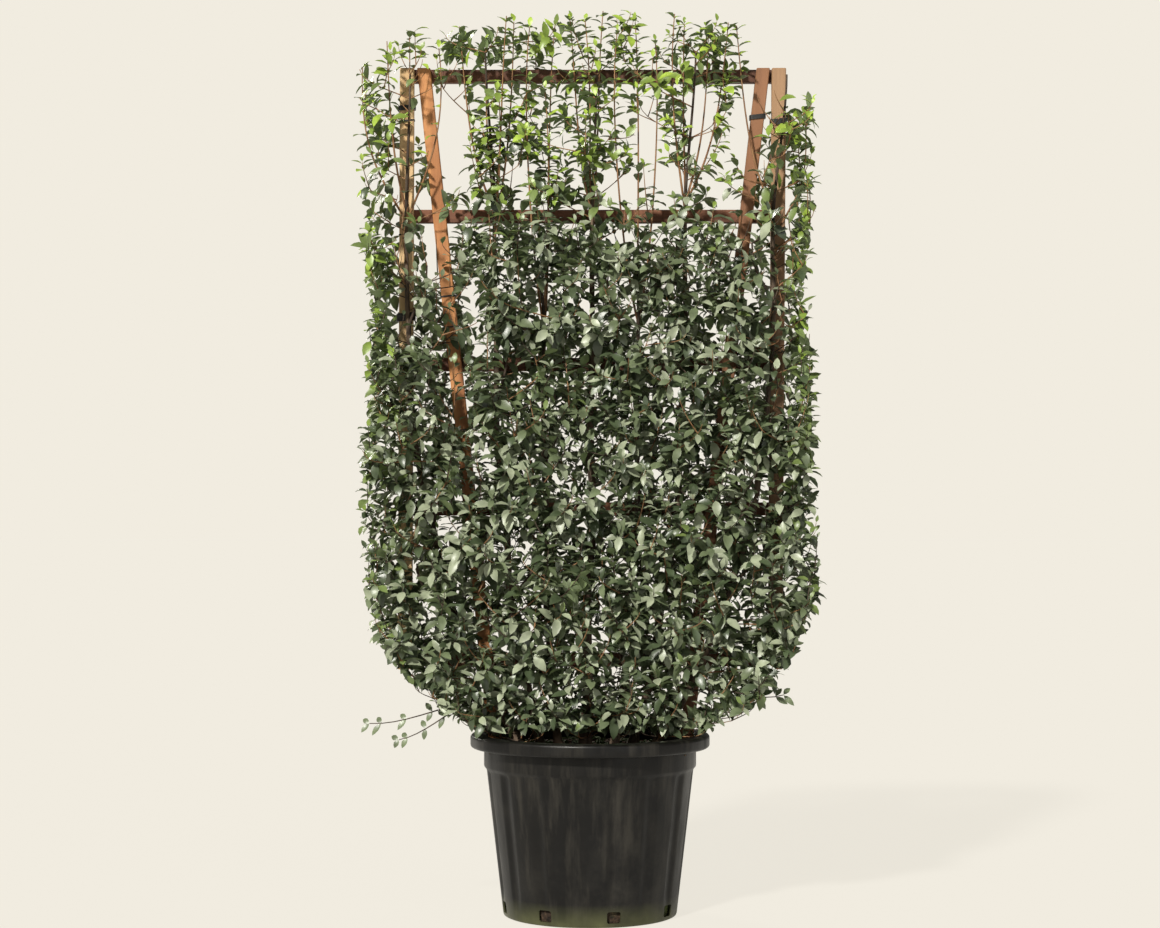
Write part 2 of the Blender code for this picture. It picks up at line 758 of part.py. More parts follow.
def main():
    clear_scene()
    model = new_collection("potted_osmanthus_espalier")
    plastic = material("black_plastic", POT_BLACK, 0.45)
    earth = material("soil", SOIL_BROWN, 0.95)
    wood = material("stained_wood", WOOD_BROWN, 0.7)
    bark = material("bark", BARK_BROWN, 0.85)
    leaf = material("leaf", LEAF_GREEN, 0.4)
    solids = [make_pot(model, plastic), make_soil(model, earth)]
    solids += make_frame(model, wood)
    solids += [make_stem(stem, model, bark) for stem in STEMS]
    obstacles = BVHTree.FromPolygons(*world_polygons(solids))
    places = [
        (f"foliage_{row}_{ending}", Vector((x, height - STAGGER * (-1) ** k)), STEMS[stem])
        for row, (height, masses) in enumerate(MASS_ROWS, 1)
        for k, (ending, x, stem) in enumerate(masses)
    ]
    centres = [centre for _, centre, _ in places]
    for number, (name, _, stem) in enumerate(places):
        make_mass(name, stem, number, centres, obstacles, model, leaf)


main()
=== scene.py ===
"""The looks of a potted osmanthus trained flat on a wooden frame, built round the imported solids."""

import math
import random

import bmesh
import bpy
import numpy as np
from mathutils import Matrix, Vector
from mathutils.bvhtree import BVHTree


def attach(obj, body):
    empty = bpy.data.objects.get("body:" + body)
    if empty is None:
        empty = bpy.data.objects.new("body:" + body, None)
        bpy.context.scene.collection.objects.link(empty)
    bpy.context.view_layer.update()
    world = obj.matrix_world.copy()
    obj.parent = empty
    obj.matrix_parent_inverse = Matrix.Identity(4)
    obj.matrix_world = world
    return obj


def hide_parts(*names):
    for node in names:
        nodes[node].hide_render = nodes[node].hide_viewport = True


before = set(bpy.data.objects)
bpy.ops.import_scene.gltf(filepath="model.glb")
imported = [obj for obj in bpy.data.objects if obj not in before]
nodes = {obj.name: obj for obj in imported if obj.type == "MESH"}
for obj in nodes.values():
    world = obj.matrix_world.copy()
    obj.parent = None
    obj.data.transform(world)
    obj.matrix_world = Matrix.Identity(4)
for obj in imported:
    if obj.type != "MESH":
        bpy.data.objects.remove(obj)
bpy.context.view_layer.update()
BODY = "root"

# The photograph's view: from straight in front, tilted up a little
CAMERA_AT = (-0.020, -4.7, 0.804)
CAMERA_TILT_DEG = 1.12
FOCAL_MM = 72.9
SENSOR_MM = 36.0
VIEW_LIMIT = 200

# Stems, as in the solids: name, foot x, foot y, tip x, tip height, radius above the flare
SOIL_TOP = 0.330
TIED_Y = -0.0235
TIED_FROM = 0.47
FAN_POWER = 3.0
STEM_TIP_RADIUS = 0.0036
FLARE_HEIGHT = 0.024
FLARE = 1.45
STEM_SWAY = 0.006
SWAY_LENGTH = 0.37
STEMS = (
    ("stem_far_left", -0.132, -0.030, -0.366, 1.415, 0.0092),
    ("stem_left", -0.098, 0.014, -0.190, 1.435, 0.0084),
    ("stem_mid_left", -0.062, -0.046, -0.092, 1.180, 0.0076),
    ("stem_centre", -0.010, -0.004, 0.004, 1.415, 0.0112),
    ("stem_mid_right", 0.046, -0.046, 0.096, 1.190, 0.0078),
    ("stem_right", 0.084, 0.012, 0.190, 1.435, 0.0088),
    ("stem_far_right", 0.122, -0.028, 0.366, 1.415, 0.0096),
)

# The crown's outline (height, left, right), its top (x, height) and its depth (height, front, back)
OUTLINE = (
    (0.365, -0.215, 0.215), (0.420, -0.300, 0.330), (0.470, -0.350, 0.375), (0.540, -0.425, 0.415),
    (0.640, -0.436, 0.450), (0.820, -0.458, 0.446), (1.060, -0.436, 0.446), (1.220, -0.440, 0.424),
    (1.400, -0.458, 0.440), (1.690, -0.462, 0.452),
)
TOP_LINE = (
    (-0.462, 1.690), (-0.400, 1.745), (-0.280, 1.770), (-0.150, 1.790), (0.024, 1.808),
    (0.160, 1.794), (0.305, 1.776), (0.335, 1.652), (0.452, 1.640),
)
DEPTH_LINE = (
    (0.365, -0.130, 0.110), (0.560, -0.185, 0.130), (1.000, -0.195, 0.140), (1.380, -0.170, 0.115),
    (1.808, -0.095, 0.055),
)

# The leafy masses by rows, as in the solids: height, and for each mass its x and its stem's place in STEMS
MASS_ROWS = (
    (0.470, ((-0.215, 0), (0.000, 3), (0.215, 6))),
    (0.650, ((-0.345, 0), (-0.118, 1), (0.118, 5), (0.345, 6))),
    (0.850, ((-0.280, 0), (0.000, 3), (0.280, 6))),
    (1.040, ((-0.360, 0), (-0.145, 1), (0.145, 5), (0.360, 6))),
    (1.240, ((-0.335, 0), (-0.105, 2), (0.105, 4), (0.335, 6))),
    (1.560, ((-0.375, 0), (-0.190, 1), (0.000, 3), (0.190, 5), (0.375, 6))),
)
STAGGER = 0.022
FORK_BELOW = 0.070
LOWEST_FORK = 0.05
TOP_FORK = 0.985

# Openings where the sky shows: middle x and height, half width and half height
SKY_WINDOWS = (
    (-0.275, 1.555, 0.034, 0.115), (-0.318, 1.330, 0.016, 0.080), (0.115, 1.560, 0.026, 0.070),
    (0.225, 1.570, 0.030, 0.075), (0.310, 1.560, 0.026, 0.100), (0.060, 1.450, 0.050, 0.030),
    (-0.235, 1.225, 0.015, 0.042), (0.068, 1.345, 0.040, 0.016), (-0.150, 1.475, 0.030, 0.030),
    (0.160, 1.460, 0.050, 0.030),
)

# Tips of the long upright shoots at the top, x and height, and the height they leave their limb
LEADERS = (
    (-0.360, 1.752, 1.36), (-0.260, 1.768, 1.40), (-0.166, 1.784, 1.42), (-0.152, 1.778, 1.38),
    (-0.040, 1.782, 1.40), (-0.010, 1.776, 1.42), (0.026, 1.800, 1.40), (0.054, 1.754, 1.36),
    (0.090, 1.776, 1.42), (0.168, 1.790, 1.40), (0.188, 1.772, 1.42), (0.276, 1.776, 1.44),
    (0.292, 1.770, 1.40), (-0.454, 1.690, 1.38), (-0.404, 1.736, 1.42), (0.430, 1.584, 1.34),
    (0.436, 1.450, 1.30), (-0.120, 1.762, 1.40), (-0.208, 1.740, 1.40), (0.130, 1.740, 1.44),
    (0.236, 1.750, 1.42), (-0.300, 1.720, 1.38), (-0.070, 1.770, 1.42), (-0.180, 1.620, 1.36),
    (-0.090, 1.640, 1.38),
)
LEADER_POINTS = 16
LEADER_DEPTHS = (-0.060, -0.025)
LEADER_LEAFY = 0.80
LEADER_SPACING = 1.35

# Thin straggling twigs low down: start x and height, tip x and height
STRAGGLERS = (
    (-0.150, 0.430, -0.434, 0.384), (-0.170, 0.450, -0.376, 0.352), (0.190, 0.440, 0.380, 0.440),
)
STRAGGLER_POINTS = 12
STRAGGLER_PAIRS = (6, 8, 10, 11)

# Stretches of lath that show: x and height of the upper or left end, then of the other end,
# half width, and the share of leaves kept
BARE_LATHS = (
    (-0.3668, 1.70, -0.3680, 1.12, 0.026, 0.16), (-0.3335, 1.70, -0.2580, 0.96, 0.024, 0.16),
    (0.3475, 1.70, 0.3000, 1.30, 0.024, 0.22), (0.3790, 1.70, 0.3760, 1.00, 0.026, 0.30),
    (-0.3000, 1.68, 0.3300, 1.68, 0.016, 0.45), (-0.3200, 1.394, 0.3300, 1.394, 0.014, 0.50),
)
LATH_FRONT = 0.01

# Shoots: how many a mass has, where they may end, and how long and thick they are
CROWN_SEED = 11
SHOOTS_DENSE = 104
SHOOTS_TOP = 40
TRIES_PER_SHOOT = 30
CELL_HALF_WIDTH = 0.17
CELL_HEIGHTS = (-0.14, 0.15)
TOP_CELL_HEIGHTS = (-0.17, 0.25)
USUAL_DEPTH = 0.33
SHOOT_POINTS = 8
SHOOT_RISE = 0.018
SHOOT_DROP = 0.09
SHOOT_LENGTHS = (0.045, 0.36)
SHOOT_RADIUS = 0.0011
SHOOT_RADIUS_PER_METRE = 0.0030
SHOOT_TAPER = 0.62
SHOOT_SIDES = 5
YOUNG_SHARE = 0.45
AXIS_POINTS = 12
AXIS_SIDES = 6
STEM_SPOTS = 18
STEM_SPOT_STEP = 0.012

# Leaves: sizes, and the outline as shares of the length and of the half width
LEAF_LONG = (0.030, 0.047)
LEAF_SLIM = (0.42, 0.54)
LEAFY_LENGTH = (0.070, 0.120)
PAIR_SPACING = 0.0165
LEAF_THICKNESS = 0.0004
LEAF_STALK = 0.1
STALK_THICKER = 1.6
LEAF_STATIONS = ((0.0, 0.05), (0.07, 0.06), (0.25, 0.68), (0.50, 1.00), (0.78, 0.64))
LEAVES_PER_PIECE = 4500
# Leaf colours and roughness: "grey" is a pale grey-green base colour that stands for a painted sheen, the
# reflection of the bright sky on glossy leaves
LEAF_COLOURS_WITH_PAINTED_LIGHT = {
    "dark": ((0.045, 0.062, 0.030), 0.36),
    "deep": ((0.100, 0.125, 0.065), 0.38),
    "grey": ((0.215, 0.242, 0.160), 0.42),
    # mid, fresh and lime: young growth, and where they are set at the crown's top and side edges also
    # painted backlight, sun shining through the leaves
    "mid": ((0.110, 0.150, 0.045), 0.38),
    "fresh_backlit": ((0.150, 0.215, 0.035), 0.40),
    "lime_backlit": ((0.250, 0.350, 0.045), 0.42),
}
YOUNG_AND_BACKLIT_LIMITS = (("lime_backlit", 0.86), ("fresh_backlit", 0.60), ("mid", 0.40))

# The stems' bark: rings, sides, swellings and ridges
BARK_SEED = 5
BARK_RINGS = 150
BARK_SIDES = 14
BARK_LIFT = 0.0004
KNOT_EVERY = 23
KNOT_SIZE = 0.10
RIDGE_SIZE = 0.055
ROUGHNESS_SIZE = 0.04
BARK_LIMIT = 1.12

# The pot, as in the solids
POT_HEIGHT = 0.358
POT_WALL = 0.0032
BASE_RADIUS = 0.1725
BASE_CHAMFER = 0.0035
SHOULDER_HEIGHT = 0.288
SHOULDER_RADIUS = 0.2060
COLLAR_RADIUS = 0.2115
COLLAR_STEP = 0.006
LIP_RADIUS = 0.2385
LIP_HEIGHT = 0.026
LIP_SOFT = 0.0065
LIP_STEPS = 8
FLOOR_THICKNESS = 0.008
GROOVES = 16
GROOVE_DEPTH = 0.0040
GROOVE_HALF_DEG = 5.0
GROOVE_START = 0.012
GROOVE_FADE = 0.05
FIRST_GROOVE_DEG = 13.5
SLOTS = 8
FIRST_SLOT_DEG = 15.0
SLOT_WIDTH = 0.027
SLOT_FOOT = 0.0085
SLOT_TOP = 0.031
SLOT_REACH = 0.012
SLOT_CORNER = 0.002
POT_COLUMNS = 384
INNER_HEIGHTS = (0.02, 0.04, 0.06, 0.09, 0.15, 0.22, 0.27, SHOULDER_HEIGHT - 0.004)
OUTER_HEIGHTS = (
    SHOULDER_HEIGHT - 0.006, 0.27, 0.24, 0.20, 0.16, 0.12, 0.09, 0.07, 0.055, 0.042, 0.031, 0.02, 0.0085,
    0.0045,
)

# Litter on the soil: long, wide and thick for brown chips, pale chips, fallen leaves and moss
LITTER_SEED = 3
LITTER_COUNT = 1500
LITTER_REACH = 0.203
LITTER_SIZES = ((0.010, 0.005, 0.003), (0.007, 0.004, 0.003), (0.026, 0.012, 0.002), (0.009, 0.009, 0.007))
LITTER_SHARES = (0.55, 0.08, 0.10, 0.27)
LITTER_RING = ((1, 0), (0.45, 0.9), (-0.5, 0.85), (-1, 0), (-0.5, -0.9), (0.5, -0.8))
SOIL_MOUND = 0.006
MOUND_RADIUS = 0.15
MOUND_FALL = 0.058

# Wood grain runs along the lath: the pattern is drawn out in that direction
UPRIGHT = (1.0, 1.0, 0.045)
LEVEL = (0.045, 1.0, 1.0)
# Each lath's dark and light wood colours and grain direction: the pale, orange left post and left slat are
# partly weathered wood and partly painted sunlight, and the near-black rails are partly painted shade
LATH_WOOD_AND_PAINTED_LIGHT_COLOURS = {
    "post_left": ((0.420, 0.250, 0.110), (0.820, 0.600, 0.330), UPRIGHT),
    "slat_left": ((0.190, 0.065, 0.022), (0.520, 0.235, 0.085), UPRIGHT),
    "slat_right": ((0.070, 0.026, 0.013), (0.260, 0.120, 0.055), UPRIGHT),
    "post_right": ((0.085, 0.038, 0.020), (0.320, 0.190, 0.100), UPRIGHT),
    "rail": ((0.045, 0.016, 0.009), (0.190, 0.075, 0.036), LEVEL),
}

# Ties round a lath: lath, height, height of the band, how far it stands off the wood
TIES = (
    ("post_left", 1.610, 0.010, 0.0030), ("post_left", 1.584, 0.003, 0.0012),
    ("post_left", 1.356, 0.003, 0.0012), ("post_left", 1.190, 0.016, 0.0040),
    ("slat_left", 1.232, 0.003, 0.0012), ("slat_left", 1.170, 0.003, 0.0012),
    ("slat_left", 0.964, 0.003, 0.0012), ("slat_right", 1.592, 0.009, 0.0020),
    ("post_right", 1.582, 0.012, 0.0030), ("post_right", 1.368, 0.003, 0.0012),
    ("post_right", 0.582, 0.003, 0.0012), ("post_right", 0.930, 0.003, 0.0012),
)
TIE_CORNERS = 24
TIE_SQUARENESS = 0.35
TIE_TILT = 0.10
TIE_HALF_X = 0.0145
TIE_HALF_Y = 0.0092

# Stage: a cream studio, mostly glowing floor with a faint shadow, and three broad lights
CREAM = (0.880, 0.838, 0.745)
FLOOR_RADIUS = 60
FLOOR_DROP = 0.0005
FLOOR_PAINT = (0.655, 0.641, 0.617)
FLOOR_PAINT_SHARE = 0.09
FLOOR_GLOW = 0.90
ROOM_LIGHT = 0.22
LAMPS = (
    ("key", (0.42, 0.88, -0.72), 5.4, 5, (1.0, 0.97, 0.91)),
    ("rim", (0.62, -0.85, -0.55), 1.6, 12, (1.0, 0.96, 0.88)),
    ("fill", (-0.60, 0.80, -0.30), 0.5, 40, (0.95, 0.97, 1.0)),
)


def along(table, at, column):
    """A column of a table, read between its rows."""
    if at <= table[0][0]:
        return table[0][column]
    for low, high in zip(table, table[1:]):
        if at <= high[0]:
            share = (at - low[0]) / (high[0] - low[0])
            return low[column] + share * (high[column] - low[column])
    return table[-1][column]


def eased(share):
    share = min(1.0, max(0.0, share))
    return share * share * (3 - 2 * share)


def round_place(radius, angle, height):
    return Vector((radius * math.cos(angle), radius * math.sin(angle), height))


def stem_place(stem, share):
    """A stem's middle and radius at a share of its height above the soil."""
    _, foot_x, foot_y, tip_x, tip_height, radius = stem
    height = SOIL_TOP + share * (tip_height - SOIL_TOP)
    fan = 1 - (1 - share) ** FAN_POWER
    sway = STEM_SWAY * math.sin((height - SOIL_TOP) / SWAY_LENGTH * 2 * math.pi) * eased(share * 4)
    x = foot_x + (tip_x - foot_x) * fan + sway * (1 - share)
    y = foot_y + (TIED_Y - foot_y) * eased((height - SOIL_TOP) / (TIED_FROM - SOIL_TOP))
    size = radius + (STEM_TIP_RADIUS - radius) * share
    size *= 1 + (FLARE - 1) * math.exp(-(height - SOIL_TOP) / FLARE_HEIGHT)
    return Vector((x, y, height)), size


def bezier(start, first, second, end, count):
    made = []
    for k in range(count):
        t = k / (count - 1)
        u = 1 - t
        made.append(start * u ** 3 + first * (3 * u * u * t) + second * (3 * u * t * t) + end * t ** 3)
    return made


def material(name, roughness=0.5, specular=0.5):
    made = bpy.data.materials.new(name)
    made.use_nodes = True
    tree = made.node_tree
    shader = tree.nodes["Principled BSDF"]
    shader.inputs["Roughness"].default_value = roughness
    shader.inputs["Specular IOR Level"].default_value = specular
    return made, tree, shader


def noise(tree, scale, detail=4.0, stretch=(1, 1, 1), rough=0.55):
    """A noise pattern in the object's own space, stretched along its axes."""
    place = tree.nodes.new("ShaderNodeTexCoord")
    mapping = tree.nodes.new("ShaderNodeMapping")
    mapping.inputs["Scale"].default_value = stretch
    tree.links.new(place.outputs["Object"], mapping.inputs["Vector"])
    made = tree.nodes.new("ShaderNodeTexNoise")
    made.inputs["Scale"].default_value = scale
    made.inputs["Detail"].default_value = detail
    made.inputs["Roughness"].default_value = rough
    tree.links.new(mapping.outputs["Vector"], made.inputs["Vector"])
    return made.outputs["Fac"]


def grey(value):
    return (value, value, value)


def ramp(tree, source, *stops):
    """Colours dealt out by a pattern; each stop is a position and a colour."""
    made = tree.nodes.new("ShaderNodeValToRGB")
    elements = made.color_ramp.elements
    elements[0].position = stops[0][0]
    elements[0].color = (*stops[0][1], 1)
    elements[1].position = stops[-1][0]
    elements[1].color = (*stops[-1][1], 1)
    for position, colour in stops[1:-1]:
        elements.new(position).color = (*colour, 1)
    tree.links.new(source, made.inputs["Fac"])
    return made.outputs["Color"]


def mixed(tree, share, one, other):
    made = tree.nodes.new("ShaderNodeMix")
    made.data_type = "RGBA"
    tree.links.new(share, made.inputs["Factor"])
    tree.links.new(one, made.inputs["A"])
    tree.links.new(other, made.inputs["B"])
    return made.outputs["Result"]


def bump(tree, shader, source, distance, strength=0.6):
    made = tree.nodes.new("ShaderNodeBump")
    made.inputs["Distance"].default_value = distance
    made.inputs["Strength"].default_value = strength
    tree.links.new(source, made.inputs["Height"])
    tree.links.new(made.outputs["Normal"], shader.inputs["Normal"])


def leaf_material(name, colour, roughness, shift=0.25):
    """Glossy leaf skin, a little uneven in colour from leaf to leaf."""
    made, tree, shader = material(name, roughness, 0.5)
    low = tuple(c * (1 - shift) for c in colour)
    high = tuple(c * (1 + shift) for c in colour)
    colours = ramp(tree, noise(tree, 38, 2), (0.35, low), (0.65, high))
    tree.links.new(colours, shader.inputs["Base Color"])
    bump(tree, shader, noise(tree, 420, 2), 0.0006, 0.35)
    return made


def bark_material(name, dark, light, roughness=0.8):
    """Bark or chips: streaks of two browns, rough along the limb."""
    made, tree, shader = material(name, roughness, 0.3)
    colours = ramp(tree, noise(tree, 90, 5, (1, 1, 0.25)), (0.3, dark), (0.7, light))
    tree.links.new(colours, shader.inputs["Base Color"])
    bump(tree, shader, noise(tree, 160, 4, (1, 1, 0.2)), 0.002)
    return made


def wood_material(name, dark, light, grain, roughness=0.62):
    """Sawn wood: fine grain lines along the lath, streaks and dirty patches."""
    made, tree, shader = material(name, roughness, 0.35)
    lines = noise(tree, 26, 8, grain, 0.7)
    streaks = noise(tree, 9, 3, grain)
    between = tuple((a + b) / 2 for a, b in zip(dark, light))
    colours = ramp(tree, lines, (0.32, dark), (0.50, between), (0.66, light))
    stain = ramp(tree, streaks, (0.35, tuple(c * 0.55 for c in dark)), (0.65, light))
    weight = ramp(tree, noise(tree, 3.5, 3), (0.42, grey(0)), (0.68, grey(0.8)))
    tree.links.new(mixed(tree, weight, colours, stain), shader.inputs["Base Color"])
    bump(tree, shader, lines, 0.0015, 0.8)
    return made


def pot_material():
    """Black plastic: dusty, with pale streaks down the wall, scuffs and green growth at the foot."""
    made, tree, shader = material("dusty_black_plastic", 0.42, 0.22)
    black, dust = (0.0030, 0.0028, 0.0026), (0.040, 0.036, 0.029)
    worn, scuffed = (0.004, 0.0037, 0.0034), (0.034, 0.031, 0.025)
    streaks = ramp(tree, noise(tree, 30, 5, (1, 1, 0.10), 0.65), (0.50, black), (0.80, dust))
    grime = ramp(tree, noise(tree, 12, 6, (1, 1, 1), 0.7), (0.45, worn), (0.82, scuffed))
    share = ramp(tree, noise(tree, 4, 2), (0.4, grey(0.15)), (0.7, grey(0.7)))
    base = mixed(tree, share, streaks, grime)
    place = tree.nodes.new("ShaderNodeTexCoord")
    parts = tree.nodes.new("ShaderNodeSeparateXYZ")
    tree.links.new(place.outputs["Object"], parts.inputs["Vector"])
    foot = tree.nodes.new("ShaderNodeMapRange")
    foot.inputs["From Min"].default_value = 0.045
    foot.inputs["From Max"].default_value = 0.0
    tree.links.new(parts.outputs["Z"], foot.inputs["Value"])
    patch = tree.nodes.new("ShaderNodeMath")
    patch.operation = "MULTIPLY"
    tree.links.new(foot.outputs["Result"], patch.inputs[0])
    tree.links.new(noise(tree, 22, 5), patch.inputs[1])
    algae = tree.nodes.new("ShaderNodeRGB")
    algae.outputs[0].default_value = (0.100, 0.105, 0.045, 1)
    tree.links.new(mixed(tree, patch.outputs[0], base, algae.outputs[0]), shader.inputs["Base Color"])
    rough = ramp(tree, noise(tree, 16, 5, (1, 1, 0.3)), (0.3, grey(0.26)), (0.75, grey(0.62)))
    tree.links.new(rough, shader.inputs["Roughness"])
    bump(tree, shader, noise(tree, 150, 4), 0.0005, 0.4)
    return made


def soil_material():
    """Dark crumbly soil with brown fibres and patches of moss."""
    made, tree, shader = material("potting_soil", 0.9, 0.25)
    wet, brown, fibre = (0.010, 0.007, 0.005), (0.035, 0.022, 0.014), (0.110, 0.070, 0.040)
    colours = ramp(tree, noise(tree, 120, 6), (0.35, wet), (0.55, brown), (0.78, fibre))
    moss = ramp(tree, noise(tree, 60, 4), (0.3, (0.020, 0.030, 0.010)), (0.7, (0.060, 0.085, 0.020)))
    share = ramp(tree, noise(tree, 9, 3), (0.55, grey(0)), (0.72, grey(0.8)))
    tree.links.new(mixed(tree, share, colours, moss), shader.inputs["Base Color"])
    bump(tree, shader, noise(tree, 220, 5), 0.003, 0.9)
    return made


def tie_material():
    made, tree, shader = material("black_tie", 0.45, 0.4)
    colours = ramp(tree, noise(tree, 200, 3), (0.3, grey(0.006)), (0.8, (0.030, 0.028, 0.026)))
    tree.links.new(colours, shader.inputs["Base Color"])
    return made


def new_object(name, points, faces, finishes, indices=None, smooth=True, sharp_deg=55):
    mesh = bpy.data.meshes.new(name)
    mesh.from_pydata(points, [], faces)
    mesh.validate()
    made = bpy.data.objects.new(name, mesh)
    bpy.context.scene.collection.objects.link(made)
    for finish in finishes:
        mesh.materials.append(finish)
    if indices is not None:
        mesh.polygons.foreach_set("material_index", np.asarray(indices, np.int32))
    if smooth:
        mesh.shade_smooth()
        mesh.set_sharp_from_angle(angle=math.radians(sharp_deg))
    return made


def tube_faces(base, rings, sides):
    """Walls between rings of points and a cap at each end."""
    faces = []
    for k in range(rings - 1):
        for s in range(sides):
            a = base + k * sides + s
            b = base + k * sides + (s + 1) % sides
            faces.append((a, b, b + sides, a + sides))
    faces.append(tuple(base + s for s in reversed(range(sides))))
    faces.append(tuple(base + (rings - 1) * sides + s for s in range(sides)))
    return faces


class Tubes:
    """Many tapering tubes joined in one mesh."""

    def __init__(self):
        self.points = []
        self.faces = []

    def add(self, line, radii, sides=SHOOT_SIDES):
        base = len(self.points)
        side = Vector((0, 1, 0))
        for k, (place, radius) in enumerate(zip(line, radii)):
            ahead = line[min(k + 1, len(line) - 1)] - line[max(k - 1, 0)]
            ahead = ahead.normalized() if ahead.length > 1e-9 else Vector((0, 0, 1))
            side = side - ahead * side.dot(ahead)
            side = side.normalized() if side.length > 1e-6 else ahead.orthogonal().normalized()
            other = ahead.cross(side)
            for s in range(sides):
                turn = 2 * math.pi * s / sides
                self.points.append(place + (side * math.cos(turn) + other * math.sin(turn)) * radius)
        self.faces += tube_faces(base, len(line), sides)

    def build(self, name, finish):
        return new_object(name, self.points, self.faces, [finish], sharp_deg=80)


def tapered(root, loss, count):
    return [root - loss * k / (count - 1) for k in range(count)]


class Leaves:
    """Arched leaves folded along the midrib, with an upper and an under skin."""

    def __init__(self, rows=()):
        self.rows = list(rows)

    def parts(self):
        """The leaves in lots small enough for one piece each."""
        starts = range(0, len(self.rows), LEAVES_PER_PIECE)
        return [Leaves(self.rows[k:k + LEAVES_PER_PIECE]) for k in starts]

    def add(self, root, way, upper, long, wide, arch, fold, roll):
        self.rows.append((*root, *way, *upper, long, wide, arch, fold, roll))

    def points(self):
        """Four points a station, left, upper middle, right and lower middle, and one at the tip."""
        rows = np.array(self.rows, float)
        root, way, upper = rows[:, 0:3], rows[:, 3:6], rows[:, 6:9]
        long, wide, arch, fold, roll = (rows[:, k][:, None] for k in range(9, 14))
        way = way / np.linalg.norm(way, axis=1)[:, None]
        upper = upper - way * np.sum(upper * way, axis=1)[:, None]
        upper = upper / np.linalg.norm(upper, axis=1)[:, None]
        flat = np.cross(way, upper)
        side = flat * np.cos(roll) + upper * np.sin(roll)
        upper = upper * np.cos(roll) - flat * np.sin(roll)
        rings = []
        for share, width in LEAF_STATIONS + ((1.0, 0.0),):
            bend = arch * share
            middle = root + way * long * np.sin(bend) / arch - upper * long * (1 - np.cos(bend)) / arch
            if width == 0.0:
                rings.append((middle,))
                continue
            face = upper * np.cos(bend) + way * np.sin(bend)
            half = wide / 2 * width
            lift = face * half * np.sin(fold)
            reach = side * half * np.cos(fold)
            skin = LEAF_THICKNESS * (STALK_THICKER if share < LEAF_STALK else 1.0)
            proud = face * skin / 2
            rings.append((middle - reach + lift, middle + proud, middle + reach + lift, middle - proud))
        return np.concatenate([np.stack(ring, 1) for ring in rings], 1)

    def build(self, name, finishes):
        points = self.points()
        count, per_leaf = points.shape[:2]
        quads, indices = [], []
        for k in range(len(LEAF_STATIONS) - 1):
            a, b = 4 * k, 4 * (k + 1)
            quads += [(a + s, a + (s + 1) % 4, b + (s + 1) % 4, b + s) for s in range(4)]
            indices += [0, 0, 1, 1]
        last = 4 * len(LEAF_STATIONS)
        tips = [(last - 4 + s, last - 4 + (s + 1) % 4, last) for s in range(4)]
        base = (np.arange(count) * per_leaf)[:, None, None]
        all_quads = (np.array(quads)[:, ::-1][None] + base).reshape(-1, 4)
        all_tips = (np.array(tips)[:, ::-1][None] + base).reshape(-1, 3)
        loops = np.concatenate([all_quads.reshape(-1), all_tips.reshape(-1)])
        tip_starts = len(all_quads) * 4 + np.arange(len(all_tips)) * 3
        starts = np.concatenate([np.arange(len(all_quads)) * 4, tip_starts])
        slots = np.concatenate([np.tile(indices, count), np.tile([0, 0, 1, 1], count)])
        mesh = bpy.data.meshes.new(name)
        mesh.vertices.add(count * per_leaf)
        mesh.vertices.foreach_set("co", points.reshape(-1).astype(np.float32))
        mesh.loops.add(len(loops))
        mesh.loops.foreach_set("vertex_index", loops.astype(np.int32))
        mesh.polygons.add(len(starts))
        mesh.polygons.foreach_set("loop_start", starts.astype(np.int32))
        for finish in finishes:
            mesh.materials.append(finish)
        mesh.update(calc_edges=True)
        mesh.polygons.foreach_set("material_index", slots.astype(np.int32))
        mesh.shade_smooth()
        mesh.set_sharp_from_angle(angle=math.radians(75))
        made = bpy.data.objects.new(name, mesh)
        bpy.context.scene.collection.objects.link(made)
        return made


def in_crown(point):
    height = point.z
    return (
        OUTLINE[0][0] <= height <= along(TOP_LINE, point.x, 1)
        and along(OUTLINE, height, 1) <= point.x <= along(OUTLINE, height, 2)
        and along(DEPTH_LINE, height, 1) <= point.y <= along(DEPTH_LINE, height, 2)
    )


def in_sky(point):
    return any(((point.x - x) / a) ** 2 + ((point.z - z) / b) ** 2 < 1 for x, z, a, b in SKY_WINDOWS)


def hides_lath(chance, point):
    """Whether a leaf would stand before a stretch of lath that shows, and is one to leave out."""
    for x, z, other_x, other_z, half, kept in BARE_LATHS:
        if z == other_z:
            near = x <= point.x <= other_x and abs(point.z - z) < half
        else:
            share = (point.z - other_z) / (z - other_z)
            near = 0 <= share <= 1 and abs(point.x - other_x - (x - other_x) * share) < half
        if near and point.y < LATH_FRONT:
            return chance.random() > kept
    return False


def kind_of(chance, place, tip_share):
    """The colour a leaf takes, from where its spray stands in the crown and how young it is; the mid,
    fresh and lime greens at the crown's top and side edges are partly young growth and partly painted
    backlight, sun shining through the leaves.
    """
    # painted backlight: a weight that grows towards the crown's sides and top, where leaves get the bright
    # greens
    side = eased((abs(place.x) - 0.33) / 0.11) * (0.25 + 0.50 * eased((place.z - 0.80) / 0.50))
    backlit_fringe = max(eased((place.z - 1.25) / 0.35), side)
    young = backlit_fringe * 0.75 + tip_share * 0.15 + chance.uniform(-0.28, 0.28)
    for kind, limit in YOUNG_AND_BACKLIT_LIMITS:
        if young > limit:
            return kind
    # dark and deep are leaf tones; grey is a painted sheen
    return chance.choice(("dark", "deep", "grey"))


def hard_parts():
    """The laths and the pot as one search tree, for twigs and leaves to keep clear of."""
    points, faces = [], []
    laths = [name for name in nodes if name.split("_")[0] in ("post", "slat", "rail")]
    for name in laths + ["pot"]:
        mesh = nodes[name].data
        base = len(points)
        points += [vertex.co.copy() for vertex in mesh.vertices]
        faces += [[base + k for k in face.vertices] for face in mesh.polygons]
    return BVHTree.FromPolygons(points, faces)


